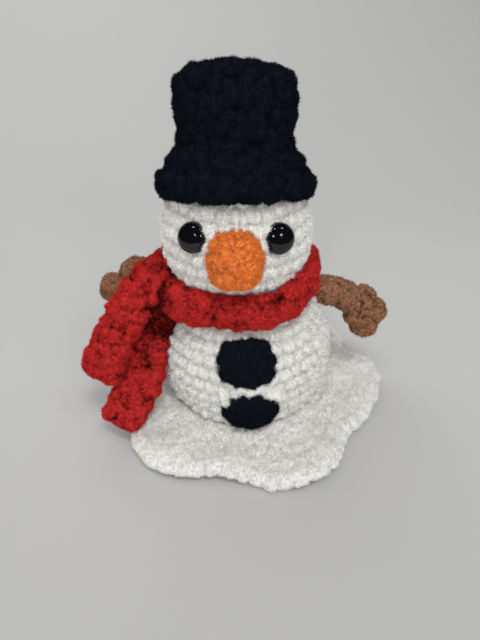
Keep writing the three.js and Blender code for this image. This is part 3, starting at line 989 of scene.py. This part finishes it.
class SNOWMAN_OT_scarf(bpy.types.Operator):
    """Crochets the scarf round the neck, with both tails at one side"""

    bl_idname = "snowman.scarf"
    bl_label = "Scarf"

    def execute(self, context):
        runs = [self.strip(number, line) for number, line in enumerate((SCARF_ROUND, SCARF_UNDER))]
        piece = joined([strip for strip, _ in runs])
        dressed(piece, ("scarf",), yarn_of("red_yarn"))
        fluff = with_pile(piece, "red_yarn")
        return {"FINISHED"}

    def strip(self, number, line):
        """One run of the scarf along a line, and its length."""
        corner = np.linspace(0, 2 * np.pi, SCARF_COLUMNS, endpoint=False)
        cos, sin = np.cos(corner), np.sin(corner)
        wide = np.sign(cos) * np.abs(cos) ** SCARF_SQUARE * (SCARF_WIDTH / 2 - 1.4)
        thick = np.sign(sin) * np.abs(sin) ** SCARF_SQUARE * (SCARF_THICKNESS / 2 - 0.5)
        run = smooth_line(line, 10)[1]
        steps = int(run / SCARF_GRID)
        points = smooth_line(line, steps)[0]
        place, way, share = points[:, :3], points[:, 3:6], points[:, 6]
        along = unit(np.gradient(place, axis=0))
        across = unit(np.cross(way, along))
        way = np.cross(along, across)
        s = np.linspace(0, run, steps)
        end = np.minimum(s, run - s)
        draw = np.sqrt(np.clip(1 - (1 - np.clip(end / SCARF_END, 0, 1)) ** 2, 0.02, 1))
        places = place[:, None] + across[:, None] * (wide * (share * draw)[:, None])[..., None]
        places = places + way[:, None] * (thick * (0.3 + 0.7 * draw[:, None]))[..., None]
        normal = outward(places)

        rows = np.broadcast_to((s / SCARF_ROW)[:, None], places.shape[:2])
        turn = np.broadcast_to(np.linspace(0, 1, SCARF_COLUMNS, endpoint=False), rows.shape)
        counts = np.full(SCARF_MOST_ROWS, SCARF_STITCHES)
        relief = stitches(turn, rows, counts, lean=0.5, seed=51 + number)
        big = tufts(places, size=8.0, seed=61 + number)
        clumps, clump_shade = tufted(0.8 * places, coarse=2.2, fine=1.5, seed=71 + number)
        rise = 0.8 * (relief - STITCH_MEAN) + 4.8 * (big - TUFT_MEAN) + clumps
        soft = np.clip(end / 2, 0, 1)[:, None]
        places = places + normal * (rise * soft)[..., None]
        places = pushed_out(places, BODY_SIDE, 0, SCARF_CLEAR)
        places = pushed_out(places, HEAD_SIDE, HEAD_X, SCARF_CLEAR)

        # Painted shade: darker in the creases between lumps, stitches and tufts
        shade = np.clip(0.1 * relief + 0.8 * big**2 + 1.1 * clump_shade - 0.74, 0, 1)
        # Painted shade of the fold, which falls on the start of each run
        dark_until, fade, plain_from = SCARF_PAINTED_FOLD_SHADE[number]
        painted_fold_shade = np.where(s < plain_from, np.clip((s - dark_until) / fade, 0, 1), 1)
        return built("scarf_crochet", places, shade * painted_fold_shade[:, None]), run


class SNOWMAN_OT_arms(bpy.types.Operator):
    """Crochets the twig arms with the round lobes of their hands"""

    bl_idname = "snowman.arms"
    bl_label = "Arms"

    def execute(self, context):
        for number, (name, (line, lobes)) in enumerate(ARMS.items()):
            piece = self.rounded(name, line, lobes)
            mesh = piece.data
            place = vectors_of(mesh.vertices, "co").astype(float) / MM
            big = tufts(place, size=6.4, seed=81 + number)
            clumps, clump_shade = tufted(place, coarse=1.8, fine=1.8, seed=91 + number)
            rise = 1.6 * (big - 0.65) + clumps
            place = place + vectors_of(mesh.vertex_normals, "vector") * rise[:, None]
            place = pushed_out(place, BODY_SIDE, 0, -1.5)
            mesh.vertices.foreach_set("co", (place * MM).astype(np.float32).ravel())
            # Painted shade: darker in the creases between lumps and tufts
            set_shade(mesh, np.clip(0.5 * big**2 + 1.2 * clump_shade - 0.58, 0, 1))
            mesh.update()
            dressed(piece, ("arm_" + name,), yarn_of("brown_yarn"))
            with_pile(piece, "brown_yarn")
        return {"FINISHED"}

    def rounded(self, name, line, lobes):
        """The arm and its lobes, melted into one closed surface."""
        points = smooth_line(line, ARM_ROWS)[0]
        along = unit(np.gradient(points, axis=0))
        side = unit(np.cross(along, [0, 0, 1]))
        up = np.cross(side, along)
        turn = np.linspace(0, 2 * np.pi, ARM_COLUMNS, endpoint=False)[None, :, None]
        ring = side[:, None] * np.cos(turn) + up[:, None] * np.sin(turn)
        places = points[:, None] + ARM_RADIUS * ring
        parts = [built("arm_crochet_" + name, places[:, ::-1])]
        for x, y, z, radius in lobes:
            height = -np.cos(np.linspace(LOBE_HOLE, math.pi - LOBE_HOLE, LOBE_ROWS)) * radius
            ball = swept(np.sqrt(radius * radius - height**2), height, LOBE_COLUMNS)
            parts.append(built("lobe", ball + np.array([x, y, z])))
        arm = joined(parts)
        melt = arm.modifiers.new("melt", "REMESH")
        melt.mode = "VOXEL"
        melt.voxel_size = ARM_VOXEL * MM
        melt.use_smooth_shade = True
        ease = arm.modifiers.new("ease", "SMOOTH")
        ease.iterations = 6
        graph = bpy.context.evaluated_depsgraph_get()
        mesh = bpy.data.meshes.new_from_object(arm.evaluated_get(graph))
        arm.modifiers.clear()
        arm.data = mesh
        mesh.polygons.foreach_set("use_smooth", np.ones(len(mesh.polygons), bool))
        return arm


class SNOWMAN_OT_buttons(bpy.types.Operator):
    """Crochets the two buttons, bent to the body"""

    bl_idname = "snowman.buttons"
    bl_label = "Buttons"

    def execute(self, context):
        edge, top = BUTTON_RADIUS, BUTTON_THICKNESS - 1.0
        side = [
            [edge - 1.4, -2.6], [edge, -0.6], [edge - 0.6, 1.6], [edge - 3, 2.8], [edge / 2, top],
            [1, top],
        ]
        section = plain_ends(side, [[1, -2.2], [edge / 2, -2.4]])
        for number, (name, (at, tilt)) in enumerate(BUTTONS.items()):
            lean = math.radians(tilt)
            ahead = np.array([0, -math.cos(lean), math.sin(lean)])
            right = np.array([1.0, 0, 0])
            axes = np.stack([right, np.cross(ahead, right), ahead], axis=1)
            corners = BUTTON_CORNERS if name == "upper" else ()

            def moved(places, turned_only=False):
                if turned_only:
                    return places @ axes.T
                reach = np.hypot(places[..., 0], places[..., 1])
                angle = np.arctan2(places[..., 1], places[..., 0])
                ragged = 0.985 + 0.02 * np.sin(9 * angle + 2 * number)
                for out, middle, width in corners:
                    ragged = ragged + out * np.exp(-((angle - middle) / width) ** 2)
                bent = places * np.stack([ragged, ragged, np.ones_like(ragged)], 2)
                bent[..., 2] -= reach**2 / (2 * BUTTON_BEND)
                return bent @ axes.T + np.array(at)

            piece = crocheted(
                "button_crochet_" + name, section, stitch=7.6, row=6.0, relief=0.6,
                seed=101 + number, moved=moved, fluff=(0.7, 0.5),
            )
            dressed(piece, ("button_" + name,), yarn_of("black_yarn"))
            fluff = with_pile(piece, "black_yarn")
        return {"FINISHED"}


class SNOWMAN_OT_stage(bpy.types.Operator):
    """Lays the pale sweep and places the lights and the camera"""

    bl_idname = "snowman.stage"
    bl_label = "Stage"

    def execute(self, context):
        self.sweep()
        for name, (at, aim, size, power) in LIGHTS.items():
            self.light(name, at, aim, size, power, glossy=False)
        for number, at in enumerate(LAMPS):
            self.light(f"lamp_{number}", at, LAMP_AIM, LAMP_SIZE, LAMP_POWER, glossy=True)

        world = bpy.data.worlds.new("room")
        world.use_nodes = True
        back = world.node_tree.nodes["Background"]
        back.inputs["Color"].default_value = ROOM_COLOUR
        back.inputs["Strength"].default_value = ROOM_LIGHT
        context.scene.world = world
        world.cycles_visibility.glossy = False

        lens = bpy.data.cameras.new("camera")
        lens.sensor_width = 36
        lens.lens = CAMERA_LENS
        lens.clip_start = 0.01
        camera = bpy.data.objects.new("camera", lens)
        camera.location = CAMERA_PLACE
        camera.rotation_euler = (math.radians(90 - CAMERA_DOWN), 0, 0)
        context.scene.collection.objects.link(camera)
        bpy.context.scene.camera = camera
        context.scene.view_settings.view_transform = "Standard"
        return {"FINISHED"}

    def sweep(self):
        """A wide floor that bends up behind the toy."""
        bend = np.linspace(0, math.pi / 2, 40)
        back = SWEEP_BEND_FROM + SWEEP_BEND
        y = np.r_[SWEEP_FRONT, SWEEP_BEND_FROM + SWEEP_BEND * np.sin(bend), back]
        z = np.r_[0, SWEEP_BEND - SWEEP_BEND * np.cos(bend), SWEEP_TOP]
        x = np.array([-SWEEP_SIDE, SWEEP_SIDE])
        points = np.stack(np.broadcast_arrays(x[None, :], y[:, None], z[:, None]), 2)
        faces = np.arange(len(y) - 1)[:, None] * 2 + np.array([0, 1, 3, 2])
        sweep = mesh_object("sweep", points.reshape(-1, 3), [faces])
        sweep.data.materials.append(floor_cloth("sweep_cloth", np.array(colours().floor)))

    def light(self, name, at, aim, size, power, glossy):
        """A soft square light; one that isn't glossy leaves no reflection on the eyes."""
        data = bpy.data.lights.new(name, "AREA")
        data.size = size
        data.energy = power
        lamp = bpy.data.objects.new(name, data)
        x, y, z = np.array(aim, float) - np.array(at, float)
        lamp.location = at
        lamp.rotation_euler = (math.atan2(math.hypot(x, y), -z), 0, math.atan2(y, x) - math.pi / 2)
        lamp.visible_glossy = glossy
        bpy.context.scene.collection.objects.link(lamp)


class SNOWMAN_PT_panel(bpy.types.Panel):
    """Lists the snowman's sizes, colours and pieces"""

    bl_idname = "SNOWMAN_PT_panel"
    bl_label = "Snowman"
    bl_space_type = "VIEW_3D"
    bl_region_type = "UI"
    bl_category = "Snowman"

    def draw(self, context):
        for group in (context.scene.snowman_sizes, context.scene.snowman_colours):
            box = self.layout.box()
            for name in group.__annotations__:
                box.prop(group, name)
        for operator in OPERATORS:
            self.layout.operator(operator.bl_idname)


OPERATORS = (
    SNOWMAN_OT_base, SNOWMAN_OT_body, SNOWMAN_OT_head, SNOWMAN_OT_hat, SNOWMAN_OT_nose,
    SNOWMAN_OT_eyes, SNOWMAN_OT_scarf, SNOWMAN_OT_arms, SNOWMAN_OT_buttons, SNOWMAN_OT_stage,
)
CLASSES = (SnowmanSizes, SnowmanColours, *OPERATORS, SNOWMAN_PT_panel)


def register():
    """Adds the classes, and the scene's sizes and colours."""
    for cls in CLASSES:
        bpy.utils.register_class(cls)
    bpy.types.Scene.snowman_sizes = bpy.props.PointerProperty(type=SnowmanSizes)
    bpy.types.Scene.snowman_colours = bpy.props.PointerProperty(type=SnowmanColours)


def unregister():
    """Takes out what register added."""
    del bpy.types.Scene.snowman_colours
    del bpy.types.Scene.snowman_sizes
    for cls in reversed(CLASSES):
        bpy.utils.unregister_class(cls)


def main():
    """Makes every piece and the stage."""
    register()
    for operator in (
        bpy.ops.snowman.base, bpy.ops.snowman.body, bpy.ops.snowman.head, bpy.ops.snowman.hat,
        bpy.ops.snowman.nose, bpy.ops.snowman.eyes, bpy.ops.snowman.scarf, bpy.ops.snowman.arms,
        bpy.ops.snowman.buttons, bpy.ops.snowman.stage,
    ):
        operator()


if __name__ == "__main__":
    main()
